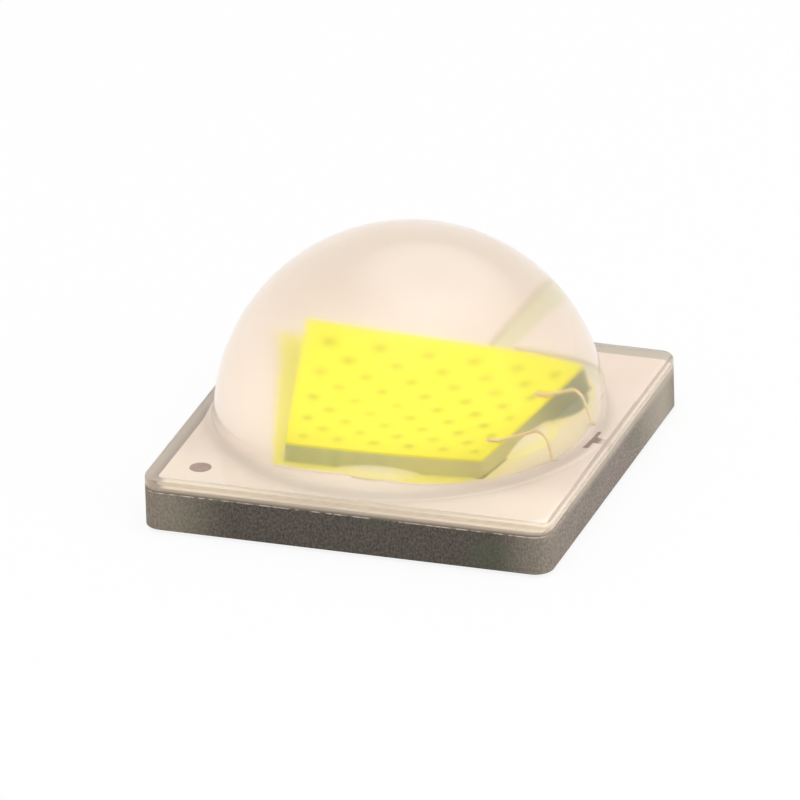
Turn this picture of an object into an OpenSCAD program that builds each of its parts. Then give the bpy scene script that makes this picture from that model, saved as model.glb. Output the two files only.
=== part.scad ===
// Surface-mount power LED: a square ceramic package with one top-emitting chip under a clear silicone dome.
// The origin is the middle of the underside of the solder pads. +Z is up, along the light's axis.
// +X points to the wire side (anode), -Y to the front.

/* [Ceramic package] */
// Side of the square package
package_side = 5.0; // [4.92:0.02:5.6]
// Radius of the package's upright corners
package_corner_r = 0.22; // [0.05:0.01:0.4]
// Thickness of the ceramic
ceramic_t = 0.53; // [0.3:0.01:1]

/* [Solder pads underneath] */
// Thickness of the solder pads
solder_pad_t = 0.04; // [0.02:0.005:0.08]
// Bare ceramic between the package's edge and the pads
solder_pad_margin = 0.11; // [0.05:0.01:0.2]
// Width of the anode's and the cathode's pad
solder_pad_w = 0.5; // [0.4:0.02:0.7]
// Bare ceramic between neighbouring pads
solder_pad_gap = 0.5; // [0.3:0.02:0.6]
// Radius of the pads' corners
solder_pad_corner_r = 0.05; // [0.02:0.01:0.15]

/* [Vias and buried strip] */
// Radius of a copper via in the ceramic
via_r = 0.1; // [0.05:0.01:0.15]
// Distance between neighbouring vias
via_pitch = 1.1; // [0.9:0.05:1.15]
// Thickness of the strip in the ceramic that leads from the cathode's vias to those under the die pad
strip_t = 0.02; // [0.01:0.005:0.03]
// Height of the strip above the ceramic's underside
strip_h = 0.24; // [0.15:0.01:0.26]
// Width of the strip around the vias on it
strip_margin = 0.05; // [0.02:0.01:0.1]
// Distance of the vias under the die pad from the chip's left side
die_via_inset = 0.3; // [0.2:0.01:0.5]

/* [Top metal] */
// Thickness of the metal on top of the ceramic
top_metal_t = 0.03; // [0.015:0.005:0.05]
// Bare ceramic left of the metal
metal_margin_left = 0.17; // [0.1:0.01:0.2]
// Bare ceramic right of the metal
metal_margin_right = 0.08; // [0.05:0.01:0.2]
// Bare ceramic in front of the metal
metal_margin_front = 0.16; // [0.05:0.01:0.2]
// Bare ceramic behind the metal
metal_margin_back = 0.22; // [0.05:0.01:0.3]
// Radius of the metal's outer corners
metal_corner_r = 0.06; // [0.02:0.01:0.2]
// Die pad that shows around the chip's furthest corners on the left, in front and behind
island_margin = 0.01; // [0.01:0.01:0.05]
// Die pad right of the chip's furthest corner
island_margin_right = 0.17; // [0.15:0.01:0.2]
// Width of the isolation gap around the die pad
gap_w = 0.05; // [0.04:0.01:0.1]
// Width of the gap behind the die pad, on the wire side
gap_back_w = 0.28; // [0.16:0.01:0.32]
// Width of the gap's branch to the metal's back edge
branch_w = 0.16; // [0.1:0.01:0.2]
// Place of that branch's middle, to the right
branch_x = 0.17; // [0:0.01:0.4]

/* [Marks in the top metal] */
// Radius of the round cathode mark
dot_r = 0.13; // [0.08:0.01:0.16]
// Distance of the round mark from the package's left side
dot_from_left = 0.57; // [0.5:0.01:0.62]
// Distance of the round mark from the package's front
dot_from_front = 0.53; // [0.4:0.01:0.6]
// Length of the T mark's crossbar
tee_bar_l = 0.44; // [0.25:0.01:0.5]
// Width of the T mark's strokes
tee_stroke_w = 0.14; // [0.05:0.005:0.16]
// Distance from the T mark's crossbar to the metal's right edge
tee_from_edge = 0.26; // [0.2:0.01:0.32]
// Place of the T mark's middle, to the back
tee_y = -0.07; // [-0.12:0.01:0.12]

/* [Chip] */
// Side of the square chip
chip_side = 2.01; // [1.8:0.01:2.1]
// Place of the chip's middle, to the right
chip_x = 0.108; // [-0.1:0.002:0.12]
// Place of the chip's middle, to the back
chip_y = -0.146; // [-0.16:0.002:0.1]
// How far the chip was turned when it was placed
chip_turn = 1.65; // [0:0.05:2]
// Thickness of the solder under the chip
attach_t = 0.015; // [0.008:0.001:0.03]
// How far the solder shows around the chip
attach_margin = 0.02; // [0.01:0.005:0.03]
// Radius of the solder bead that came out on the right
bead_r = 0.25; // [0.2:0.01:0.3]
// How far that bead comes out from the chip
bead_reach = 0.18; // [0.1:0.01:0.21]
// Distance of the bead behind the chip's middle
bead_y = 0.7; // [0.6:0.01:0.75]
// Thickness of the chip's carrier
carrier_t = 0.17; // [0.08:0.005:0.2]
// Thickness of the light-emitting layer
light_t = 0.008; // [0.006:0.001:0.015]
// Carrier that stays free around the light-emitting layer
light_inset = 0.02; // [0.01:0.005:0.04]
// Thickness of the phosphor over the light-emitting layer
phosphor_t = 0.014; // [0.01:0.002:0.05]

/* [Contact points in the chip] */
// Radius of one contact point
contact_r = 0.022; // [0.015:0.001:0.03]
// Distance between neighbours in a row
contact_pitch_x = 0.338; // [0.3:0.002:0.4]
// Distance between rows
contact_pitch_y = 0.198; // [0.18:0.002:0.24]
// Least distance from the layer's edge to a contact point
contact_edge = 0.12; // [0.08:0.005:0.2]

/* [Bond wires] */
// Length of a bond pad on the chip, along the wire
bond_pad_l = 0.15; // [0.12:0.005:0.2]
// Width of a bond pad
bond_pad_w = 0.1; // [0.08:0.005:0.14]
// Thickness of a bond pad
bond_pad_t = 0.006; // [0.003:0.001:0.01]
// Light-emitting layer that shows between a bond pad and the layer's right edge
bond_pad_inset = 0.01; // [0.005:0.005:0.04]
// Distance of wire 1 behind the chip's middle
wire_1_y = 0.48; // [0.4:0.005:0.6]
// Distance of wire 2 in front of the chip's middle
wire_2_y = 0.49; // [0.4:0.005:0.6]
// Radius of the gold wire
wire_r = 0.016; // [0.01:0.001:0.02]
// Length of the wire's flattened end on the bond pad
wedge_l = 0.1; // [0.07:0.005:0.11]
// How far the wire's ends are pressed down onto the pads
wedge_flat = 0.006; // [0.003:0.001:0.008]
// Bond pad that shows beyond the place where the wire lifts off
wedge_heel = 0.02; // [0.01:0.005:0.04]
// Radius of the wire's first bend, where it lifts off
lift_r = 0.04; // [0.03:0.005:0.06]
// Radius of the wire's last bend, where it lands on the wire pad
land_r = 0.03; // [0.02:0.005:0.05]
// Length of the wire's flattened end on the wire pad
tail_l = 0.08; // [0.05:0.005:0.1]
// Angle at which wire 1 rises from the chip
wire_1_rise = 18; // [12:1:22]
// Straight length of wire 1 before its bend
wire_1_run = 0.32; // [0.26:0.01:0.36]
// Radius of the bend of wire 1
wire_1_bend_r = 0.15; // [0.12:0.01:0.17]
// Length of wire 1 in plan, from where it lifts off to where it has landed
wire_1_l = 0.6; // [0.58:0.01:0.7]
// Angle at which wire 2 rises from the chip
wire_2_rise = 17; // [12:1:22]
// Straight length of wire 2 before its bend
wire_2_run = 0.44; // [0.35:0.01:0.5]
// Radius of the bend of wire 2
wire_2_bend_r = 0.16; // [0.12:0.01:0.18]
// Length of wire 2 in plan, from where it lifts off to where it has landed
wire_2_l = 0.7; // [0.66:0.01:0.78]

/* [Reflective fillets at the chip's foot] */
// Radius of the front fillet's round outline
front_fillet_r = 0.52; // [0.4:0.01:0.6]
// Height of the front fillet's top above the overspray
front_fillet_h = 0.08; // [0.04:0.005:0.14]
// How far the front fillet comes out from the chip
front_fillet_reach = 0.25; // [0.2:0.01:0.35]
// Shift of the front fillet from the chip's middle, to the right
front_fillet_x = -0.07; // [-0.2:0.01:0.2]
// Radius of the right fillet's round outline
right_fillet_r = 0.55; // [0.45:0.01:0.65]
// Height of the right fillet's top above the overspray
right_fillet_h = 0.1; // [0.06:0.005:0.14]
// How far the right fillet comes out from the chip
right_fillet_reach = 0.26; // [0.2:0.01:0.32]
// Shift of the right fillet from the chip's middle, to the back
right_fillet_y = -0.02; // [-0.15:0.01:0.1]

/* [Phosphor overspray] */
// Thickness of the overspray on the metal
spray_t = 0.008; // [0.005:0.001:0.012]
// Overspray left of the chip
spray_left = 0.17; // [0.1:0.01:0.3]
// Overspray in front of the chip
spray_front = 0.18; // [0.15:0.01:0.3]
// Overspray right of the chip, under the lobe
spray_right = 0.26; // [0.24:0.01:0.32]
// Overspray behind the chip
spray_back = 0.14; // [0.05:0.01:0.18]
// Radius of the overspray's corners
spray_corner_r = 0.1; // [0.05:0.01:0.2]
// Radius of its round lobe on the wire side
spray_lobe_r = 1.3; // [1.1:0.01:1.5]
// Distance from the chip's middle to the lobe's middle, to the right
spray_lobe_x = 0.36; // [0.2:0.01:0.4]

/* [Silicone dome] */
// Radius of the dome
dome_r = 2.32; // [2.2:0.01:2.33]
// Height of the dome's centre above the ceramic
dome_centre_h = 0.08; // [0.02:0.01:0.2]
// Thickness of the flange around the dome
flange_t = 0.11; // [0.08:0.01:0.2]
// Radius of the round transition from the dome to the flange
dome_fillet_r = 0.12; // [0.06:0.01:0.13]

/* [Hidden] */
half = package_side / 2;
z_ceramic = solder_pad_t;
z_metal = z_ceramic + ceramic_t;
z_attach = z_metal + top_metal_t;
z_carrier = z_attach + attach_t;
z_light = z_carrier + carrier_t;
z_bond_pad = z_light + light_t;
z_wedge = z_bond_pad + bond_pad_t;
z_chip_top = z_bond_pad + phosphor_t;

solder_pad_l = package_side - 2 * solder_pad_margin;
solder_pad_x = half - solder_pad_margin - solder_pad_w / 2;
thermal_pad_w = package_side - 2 * (solder_pad_margin + solder_pad_w + solder_pad_gap);
// Vias on each side, one node each
via_count = 4;
via_ys = [for (i = [0:via_count - 1]) (i - (via_count - 1) / 2) * via_pitch];

metal_left = -half + metal_margin_left;
metal_right = half - metal_margin_right;
metal_front = -half + metal_margin_front;
metal_back = half - metal_margin_back;

chip_half = chip_side / 2;
// Distance from the chip's middle to its furthest corner along X or Y
chip_reach = chip_half * (cos(chip_turn) + sin(chip_turn));
island_left = chip_x - chip_reach - island_margin;
island_right = chip_x + chip_reach + island_margin_right;
island_front = chip_y - chip_reach - island_margin;
island_back = chip_y + chip_reach + island_margin;

z_strip = z_ceramic + strip_h;
die_via_x = chip_x - chip_half + die_via_inset;
// The die pad's vias stand behind the middle two of the cathode's
die_via_ys = [via_ys[1], via_ys[2]];

dot_x = -half + dot_from_left;
dot_y = -half + dot_from_front;
tee_x = metal_right - tee_from_edge;

light_side = chip_side - 2 * light_inset;
contact_span = light_side - 2 * contact_edge;
contact_rows = floor(contact_span / contact_pitch_y) + 1;
contact_columns = floor(contact_span / contact_pitch_x) + 1;
// Light-emitting layer between a contact point and a bond pad
contact_pad_clear = 0.02;

bond_pad_right = light_side / 2 - bond_pad_inset;
bond_pad_x = bond_pad_right - bond_pad_l / 2;
wire_x = bond_pad_right - wedge_heel;
wire_ys = [wire_1_y, -wire_2_y];
wire_rise = [wire_1_rise, wire_2_rise];
wire_run = [wire_1_run, wire_2_run];
wire_bend_r = [wire_1_bend_r, wire_2_bend_r];
wire_l = [wire_1_l, wire_2_l];
// Sides of the wire's section, and steps in each of its bends
wire_sides = 12;
bend_steps = 9;
end_bend_steps = 3;

// Metal left free of overspray around a wire's foot
foot_clear = 0.06;

// Facets around a fillet, and from its foot to its top
fillet_sides = 48;
fillet_steps = 8;

z_dome = z_metal + dome_centre_h;
z_flange = z_metal + flange_t;
// Centre of the transition's round, and where it touches the dome
dome_fillet_z = z_flange + dome_fillet_r;
dome_fillet_x = sqrt(pow(dome_r + dome_fillet_r, 2) - pow(dome_fillet_z - z_dome, 2));
dome_touch_z = z_dome + (dome_fillet_z - z_dome) * dome_r / (dome_r + dome_fillet_r);

$fn = 96;

// Rectangle with round corners, from its lower left corner
module rounded_rect(width, depth, r) {
    translate([r, 0]) square([width - 2 * r, depth]);
    translate([0, r]) square([width, depth - 2 * r]);
    for (x = [r, width - r], y = [r, depth - r]) {
        translate([x, y]) circle(r);
    }
}

module package_outline() {
    translate([-half, -half]) rounded_rect(package_side, package_side, package_corner_r);
}

module solder_pad(x, width) {
    translate([x - width / 2, -solder_pad_l / 2, 0]) linear_extrude(solder_pad_t)
        rounded_rect(width, solder_pad_l, solder_pad_corner_r);
}

module thermal_pad() {
    color("gold") solder_pad(0, thermal_pad_w);
}

module anode_solder_pad() {
    color("gold") solder_pad(solder_pad_x, solder_pad_w);
}

module cathode_solder_pad() {
    color("gold") solder_pad(-solder_pad_x, solder_pad_w);
}

module via(x, y, z0, z1) {
    translate([x, y, z0]) cylinder(h = z1 - z0, r = via_r);
}

module anode_via(i) {
    color("peru") via(solder_pad_x, via_ys[i], z_ceramic, z_metal);
}

module cathode_via(i) {
    color("peru") via(-solder_pad_x, via_ys[i], z_ceramic, z_strip);
}

module die_via(i) {
    color("peru") via(die_via_x, die_via_ys[i], z_strip + strip_t, z_metal);
}

module cathode_strip() {
    reach = via_r + strip_margin;
    width = 2 * (via_ys[via_count - 1] + reach);
    color("peru") translate([-solder_pad_x - reach, -width / 2, z_strip])
        cube([solder_pad_x + die_via_x + 2 * reach, width, strip_t]);
}

module ceramic_substrate() {
    color("dimgray") difference() {
        translate([0, 0, z_ceramic]) linear_extrude(ceramic_t) package_outline();
        for (i = [0:via_count - 1]) {
            anode_via(i);
            cathode_via(i);
        }
        cathode_strip();
        die_via(0);
        die_via(1);
    }
}

module metal_outline() {
    translate([metal_left, metal_front])
        rounded_rect(metal_right - metal_left, metal_back - metal_front, metal_corner_r);
}

// The die pad's outline, grown by a margin
module island(margin) {
    translate([island_left - margin, island_front - margin])
        square([island_right - island_left + 2 * margin, island_back - island_front + 2 * margin]);
}

// The gap runs around the die pad, is wider behind it on the wire side, and has one branch to the back
module isolation_gap() {
    branch_left = branch_x - branch_w / 2;
    difference() {
        island(gap_w);
        island(0);
    }
    translate([branch_left, island_back]) square([island_right + gap_w - branch_left, gap_back_w]);
    translate([branch_left, island_back]) square([branch_w, half - island_back]);
}

module dot_outline() {
    translate([dot_x, dot_y]) circle(dot_r);
}

module tee_outline() {
    translate([tee_x - tee_stroke_w / 2, tee_y - tee_bar_l / 2]) square([tee_stroke_w, tee_bar_l]);
    translate([tee_x, tee_y - tee_stroke_w / 2]) square([metal_right - tee_x, tee_stroke_w]);
}

module top_metal() {
    translate([0, 0, z_metal]) linear_extrude(top_metal_t) children();
}

module die_pad() {
    color("antiquewhite") top_metal() island(0);
}

module wire_pad() {
    color("antiquewhite") top_metal() difference() {
        metal_outline();
        island(0);
        isolation_gap();
        dot_outline();
        tee_outline();
    }
}

module cathode_dot() {
    color("rosybrown") top_metal() dot_outline();
}

module alignment_tee() {
    color("rosybrown") top_metal() tee_outline();
}

// Places what is given from the chip's middle, along the chip's sides
module on_chip() {
    translate([chip_x, chip_y]) rotate(chip_turn) children();
}

module chip_outline(margin) {
    on_chip() square(chip_side + 2 * margin, center = true);
}

module chip_solder() {
    color("gray") translate([0, 0, z_attach]) linear_extrude(attach_t) {
        chip_outline(attach_margin);
        on_chip() translate([chip_half + bead_reach - bead_r, bead_y]) circle(bead_r);
    }
}

module chip_carrier() {
    color("darkkhaki") translate([0, 0, z_carrier]) linear_extrude(carrier_t) chip_outline(0);
}

// Staggered rows, with none under a bond pad
module contact_grid() {
    for (row = [0:contact_rows - 1]) {
        count = contact_columns - row % 2;
        y = (row - (contact_rows - 1) / 2) * contact_pitch_y;
        for (column = [0:count - 1]) {
            x = (column - (count - 1) / 2) * contact_pitch_x;
            clear_x = abs(x - bond_pad_x) - bond_pad_l / 2 - contact_r;
            clear_y = min([for (wy = wire_ys) abs(y - wy)]) - bond_pad_w / 2 - contact_r;
            if (max(clear_x, clear_y) > contact_pad_clear) {
                on_chip() translate([x, y]) circle(contact_r);
            }
        }
    }
}

module light_layer() {
    color("khaki") translate([0, 0, z_light]) linear_extrude(light_t) difference() {
        chip_outline(-light_inset);
        contact_grid();
    }
}

module contact_points() {
    color("goldenrod") translate([0, 0, z_light]) linear_extrude(light_t) contact_grid();
}

module bond_pad(i) {
    color("gold") on_chip() translate([bond_pad_x - bond_pad_l / 2, wire_ys[i] - bond_pad_w / 2, z_bond_pad])
        cube([bond_pad_l, bond_pad_w, bond_pad_t]);
}

// Direction at an angle in a wire's upright plane
function unit(angle) = [cos(angle), sin(angle)];

// Place of a wire's middle line there, its direction, and the height under which the wire is pressed flat
function station(at, direction, pad_z) = [at[0], at[1], direction, pad_z];

// From the flattened end on the bond pad, over the loop, to the flattened end on the wire pad
function wire_route(i) =
    let (
        rise = wire_rise[i],
        r = wire_bend_r[i],
        heel = [0, z_wedge + wire_r - wedge_flat],
        landing = [wire_l[i], z_attach + wire_r - wedge_flat],
        lift = heel + [0, lift_r],
        bend = lift + (lift_r + r) * unit(rise - 90) + wire_run[i] * unit(rise),
        land = landing + [0, land_r],
        across = land - bend,
        drop = atan2(across[1], across[0]) - asin((r + land_r) / norm(across))
    )
    concat(
        [station(heel - [wedge_l, 0], 0, z_wedge)],
        [for (k = [0:end_bend_steps]) let (d = rise * k / end_bend_steps)
            station(lift + lift_r * unit(d - 90), d, z_wedge)],
        [for (k = [0:bend_steps]) let (d = rise + (drop - rise) * k / bend_steps)
            station(bend + r * unit(d + 90), d, z_attach)],
        [for (k = [0:end_bend_steps]) let (d = drop * (1 - k / end_bend_steps))
            station(land + land_r * unit(d - 90), d, z_attach)],
        [station(landing + [tail_l, 0], 0, z_attach)]
    );

// One ring of points around a station
function wire_ring(at) =
    [for (k = [0:wire_sides - 1])
        let (
            a = (k + 0.5) * 360 / wire_sides,
            side = wire_r * cos(a),
            up = wire_r * sin(a)
        )
        [at[0] - up * sin(at[2]), side, max(at[1] + up * cos(at[2]), at[3])]];

// A closed solid through rings with equally many points, each ring turning left around the way to the next
module skin(rings) {
    sides = len(rings[0]);
    last = len(rings) - 1;
    quads = [for (k = [0:last - 1], j = [0:sides - 1])
        let (next = (j + 1) % sides)
        [k * sides + j, k * sides + next, (k + 1) * sides + next, (k + 1) * sides + j]];
    polyhedron(
        points = [for (ring = rings) each ring],
        faces = concat(
            [[for (j = [0:sides - 1]) sides - 1 - j]],
            [for (q = quads) each [[q[0], q[1], q[2]], [q[0], q[2], q[3]]]],
            [[for (j = [0:sides - 1]) last * sides + j]]
        )
    );
}

module bond_wire(i) {
    color("orange") on_chip() translate([wire_x, wire_ys[i], 0])
        skin([for (at = wire_route(i)) wire_ring(at)]);
}

// Window in the phosphor over a bond pad, open to the chip's right side
module phosphor_window(i) {
    left = bond_pad_x - bond_pad_l / 2;
    on_chip() translate([left, wire_ys[i] - bond_pad_w / 2, z_bond_pad])
        cube([chip_half - left + phosphor_t, bond_pad_w, 2 * phosphor_t]);
}

module phosphor_layer() {
    color("yellow") difference() {
        translate([0, 0, z_light]) linear_extrude(light_t + phosphor_t) chip_outline(0);
        translate([0, 0, z_light]) linear_extrude(light_t) chip_outline(-light_inset);
        phosphor_window(0);
        phosphor_window(1);
    }
}

// The carrier and all that is on it, without the bond pads
module chip_stack() {
    difference() {
        translate([0, 0, z_carrier]) linear_extrude(z_chip_top - z_carrier) chip_outline(0);
        phosphor_window(0);
        phosphor_window(1);
    }
}

// Cap of a ball on the overspray, cut off by the chip and its solder
module fillet(x, y, r, h) {
    ball_r = (r * r + h * h) / (2 * h);
    foot_angle = asin(r / ball_r);
    difference() {
        on_chip() translate([x, y, z_attach + spray_t]) skin([for (k = [0:fillet_steps - 1])
            let (a = foot_angle * (1 - k / fillet_steps))
            [for (j = [0:fillet_sides - 1])
                let (turn = j * 360 / fillet_sides)
                [ball_r * sin(a) * cos(turn), ball_r * sin(a) * sin(turn), ball_r * (cos(a) - cos(foot_angle))]]]);
        chip_solder();
        translate([0, 0, z_attach]) linear_extrude(z_chip_top - z_attach) chip_outline(0);
    }
}

module front_fillet() {
    color("wheat")
        fillet(front_fillet_x, front_fillet_r - front_fillet_reach - chip_half, front_fillet_r, front_fillet_h);
}

module right_fillet() {
    color("wheat")
        fillet(chip_half + right_fillet_reach - right_fillet_r, right_fillet_y, right_fillet_r, right_fillet_h);
}

module spray_outline() {
    width = chip_side + spray_left + spray_right;
    depth = chip_side + spray_front + spray_back;
    on_chip() difference() {
        union() {
            translate([-chip_half - spray_left, -chip_half - spray_front])
                rounded_rect(width, depth, spray_corner_r);
            translate([spray_lobe_x, 0]) circle(spray_lobe_r);
        }
        translate([-half, chip_half + spray_back]) square([package_side, half]);
        for (i = [0, 1]) {
            translate([wire_x + wire_l[i] - foot_clear, wire_ys[i] - foot_clear])
                square([tail_l + 2 * foot_clear, 2 * foot_clear]);
        }
    }
}

// A film on the metal that also fills the isolation gap under it
module phosphor_overspray() {
    color("khaki") difference() {
        union() {
            translate([0, 0, z_attach]) linear_extrude(spray_t) spray_outline();
            translate([0, 0, z_metal]) linear_extrude(top_metal_t) intersection() {
                spray_outline();
                isolation_gap();
            }
        }
        chip_solder();
    }
}

module lens_outside() {
    translate([0, 0, z_metal]) linear_extrude(flange_t) package_outline();
    intersection() {
        translate([0, 0, z_dome]) sphere(dome_r);
        translate([-half, -half, z_metal]) cube(package_side);
    }
    rotate_extrude() difference() {
        translate([0.9 * dome_r, z_metal])
            square([dome_fillet_x - 0.9 * dome_r, dome_touch_z - z_metal]);
        translate([dome_fillet_x, dome_fillet_z]) circle(dome_fillet_r);
    }
}

// The silicone fills every space around the pieces that it covers
module silicone_lens() {
    color("linen") difference() {
        lens_outside();
        translate([0, 0, z_metal]) linear_extrude(top_metal_t) difference() {
            metal_outline();
            isolation_gap();
        }
        chip_solder();
        chip_stack();
        bond_pad(0);
        bond_pad(1);
        front_fillet();
        right_fillet();
        phosphor_overspray();
        bond_wire(0);
        bond_wire(1);
    }
}

thermal_pad();
anode_solder_pad();
cathode_solder_pad();
ceramic_substrate();
anode_via(0);  // anode_via_1
anode_via(1);  // anode_via_2
anode_via(2);  // anode_via_3
anode_via(3);  // anode_via_4
cathode_via(0);  // cathode_via_1
cathode_via(1);  // cathode_via_2
cathode_via(2);  // cathode_via_3
cathode_via(3);  // cathode_via_4
cathode_strip();
die_via(0);  // die_via_1
die_via(1);  // die_via_2
die_pad();
wire_pad();
cathode_dot();
alignment_tee();
chip_solder();
chip_carrier();
light_layer();
contact_points();
bond_pad(0);  // bond_pad_1
bond_pad(1);  // bond_pad_2
phosphor_layer();
phosphor_overspray();
front_fillet();
right_fillet();
bond_wire(0);  // bond_wire_1
bond_wire(1);  // bond_wire_2
silicone_lens();
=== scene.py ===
"""Looks of a surface-mount power LED: square ceramic package, yellow chip, gold wires, clear dome."""
import math

import bpy
from mathutils import Matrix, Vector

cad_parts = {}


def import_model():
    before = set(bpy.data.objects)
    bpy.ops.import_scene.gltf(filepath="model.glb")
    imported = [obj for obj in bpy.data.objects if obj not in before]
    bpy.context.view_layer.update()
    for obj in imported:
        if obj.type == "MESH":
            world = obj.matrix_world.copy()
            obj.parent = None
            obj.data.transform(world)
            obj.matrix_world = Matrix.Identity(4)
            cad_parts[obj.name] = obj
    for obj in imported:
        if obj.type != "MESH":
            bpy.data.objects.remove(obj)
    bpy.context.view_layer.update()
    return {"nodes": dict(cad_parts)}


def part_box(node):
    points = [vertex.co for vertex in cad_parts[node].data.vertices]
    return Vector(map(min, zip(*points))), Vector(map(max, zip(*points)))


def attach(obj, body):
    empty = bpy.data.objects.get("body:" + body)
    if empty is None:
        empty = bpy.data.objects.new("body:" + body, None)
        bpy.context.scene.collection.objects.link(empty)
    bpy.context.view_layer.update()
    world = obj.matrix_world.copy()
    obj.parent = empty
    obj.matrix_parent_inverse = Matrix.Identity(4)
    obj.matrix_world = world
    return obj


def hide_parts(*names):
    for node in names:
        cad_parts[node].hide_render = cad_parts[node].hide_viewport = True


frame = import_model()

MM = 0.001


# Places taken from the frame, in metres

def span(node, axis):
    """Lowest and highest value of a CAD node along an axis."""
    low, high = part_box(node)
    return low[axis], high[axis]


HALF = span("ceramic_substrate", 0)[1]
Z_CERAMIC, Z_METAL = span("ceramic_substrate", 2)
Z_PAD = span("die_pad", 2)[1]
METAL_RIGHT = span("wire_pad", 0)[1]

# The chip is turned a little, so its box is larger than the chip
CHIP_TURN = math.radians(1.65)
CHIP_X = sum(span("chip_carrier", 0)) / 2
CHIP_Y = sum(span("chip_carrier", 1)) / 2
CHIP_REACH = span("chip_carrier", 0)[1] - CHIP_X
CHIP_HALF = CHIP_REACH / (math.cos(CHIP_TURN) + math.sin(CHIP_TURN))


# Colours

def linear(value):
    """A colour value written as it shows, from 0 to 255, as nodes take it."""
    value /= 255
    return value / 12.92 if value <= 0.04045 else ((value + 0.055) / 1.055) ** 2.4


def srgb(red, green, blue):
    """A colour written as it shows, from 0 to 255."""
    return (linear(red), linear(green), linear(blue), 1.0)


def rgb(red, green, blue):
    """A colour in the values that nodes take, from 0 to 1."""
    return (red, green, blue, 1.0)


def grey(value):
    return rgb(value, value, value)


# Nodes of a material

class Material:
    """A node material with short calls for the nodes that the looks use."""

    def __init__(self, name):
        self.material = bpy.data.materials.new(name)
        self.material.use_nodes = True
        self.tree = self.material.node_tree
        self.shader = self.tree.nodes["Principled BSDF"]
        self.place = self.tree.nodes.new("ShaderNodeTexCoord").outputs["Object"]

    def set(self, **values):
        for name, value in values.items():
            self.shader.inputs[name.replace("_", " ")].default_value = value
        return self

    def link(self, source, target):
        self.tree.links.new(source, target)

    def feed(self, socket, source):
        self.link(source, self.shader.inputs[socket])

    def put(self, socket, value):
        """Sets a socket to a number or a colour, or links it to another node's output."""
        if isinstance(value, bpy.types.NodeSocket):
            self.link(value, socket)
        else:
            socket.default_value = value

    def math(self, operation, *values):
        node = self.tree.nodes.new("ShaderNodeMath")
        node.operation = operation
        for socket, value in zip(node.inputs, values):
            self.put(socket, value)
        return node.outputs[0]

    def plus(self, a, b):
        return self.math("ADD", a, b)

    def minus(self, a, b):
        return self.math("SUBTRACT", a, b)

    def times(self, a, b):
        return self.math("MULTIPLY", a, b)

    def distance(self, x, y):
        return self.math("SQRT", self.plus(self.times(x, x), self.times(y, y)))

    def axis(self, index, of=None):
        """One coordinate of the place on the object, or of another vector."""
        node = self.tree.nodes.new("ShaderNodeSeparateXYZ")
        self.link(of or self.place, node.inputs[0])
        return node.outputs[index]

    def chip_axes(self):
        """Distances from the chip's middle, along its own two sides."""
        x = self.minus(self.axis(0), CHIP_X)
        y = self.minus(self.axis(1), CHIP_Y)
        c, s = math.cos(CHIP_TURN), math.sin(CHIP_TURN)
        along = self.plus(self.times(x, c), self.times(y, s))
        across = self.minus(self.times(y, c), self.times(x, s))
        return along, across

    def true_normal(self):
        return self.tree.nodes.new("ShaderNodeNewGeometry").outputs["True Normal"]

    def stretched(self, scale):
        node = self.tree.nodes.new("ShaderNodeMapping")
        node.inputs["Scale"].default_value = scale
        self.link(self.place, node.inputs["Vector"])
        return node.outputs[0]

    def noise(self, size, detail=3.0, roughness=0.5, scale=None, seed=0.0):
        """Soft noise whose grain is about size metres."""
        node = self.tree.nodes.new("ShaderNodeTexNoise")
        node.noise_dimensions = "4D"
        node.inputs["W"].default_value = seed
        node.inputs["Scale"].default_value = 1.0 / size
        node.inputs["Detail"].default_value = detail
        node.inputs["Roughness"].default_value = roughness
        self.link(self.stretched(scale) if scale else self.place, node.inputs["Vector"])
        return node.outputs["Fac"]

    def ramp(self, value, low, high, start=0.0, end=1.0):
        """Smooth step from start, at low, to end, at high."""
        node = self.tree.nodes.new("ShaderNodeMapRange")
        node.interpolation_type = "SMOOTHSTEP"
        for name, number in (("From Min", low), ("From Max", high), ("To Min", start), ("To Max", end)):
            node.inputs[name].default_value = number
        self.link(value, node.inputs["Value"])
        return node.outputs["Result"]

    def mix(self, factor, a, b):
        node = self.tree.nodes.new("ShaderNodeMix")
        node.data_type = "RGBA"
        self.put(node.inputs["Factor"], factor)
        self.put(node.inputs[6], a)
        self.put(node.inputs[7], b)
        return node.outputs[2]

    def blend(self, noise, a, b, low=0.3, high=0.7):
        """Two colours mixed by a noise, the first where it is low."""
        return self.mix(self.ramp(noise, low, high), a, b)

    def bump(self, height, depth, strength):
        node = self.tree.nodes.new("ShaderNodeBump")
        node.inputs["Strength"].default_value = strength
        node.inputs["Distance"].default_value = depth
        self.link(height, node.inputs["Height"])
        self.feed("Normal", node.outputs["Normal"])


# The ceramic's sides

# The sides' colours are painted shade: darker than the top, as under light from above; their green and
# brown blotches are the ceramic's own tone
SIDE_SHADE_DARK = srgb(66, 59, 54)
SIDE_SHADE_PALE = srgb(108, 100, 91)
SIDE_GREEN = srgb(84, 92, 70)
# The right side's colours are painted light: paler than the front, as under the light from the right; its
# brown and green blotches are its own tone
RIGHT_LIT_DARK = srgb(114, 105, 97)
RIGHT_LIT_PALE = srgb(176, 164, 152)
RIGHT_BROWN = srgb(158, 136, 130)
RIGHT_GREEN = srgb(124, 126, 110)
RIGHT_BACK = srgb(194, 183, 166)
# Painted light along the top of the right side
RIGHT_TOP_LIT = srgb(208, 192, 174)
# Painted highlights on the rounded upright corners, paler than the shaded sides round them
CORNER_HIGHLIGHT_DARK = srgb(126, 116, 103)
CORNER_HIGHLIGHT_PALE = srgb(158, 148, 134)
LEFT_DARK = srgb(126, 116, 101)
LEFT_PALE = srgb(154, 144, 128)
# Painted light and shade under the top edge: a band from lit to shaded, and a line of painted highlight
BAND_LIT_TOP = srgb(190, 175, 155)
BAND_SHADED_FOOT = srgb(122, 108, 94)
LINE_HIGHLIGHT = srgb(215, 203, 188)

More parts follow.
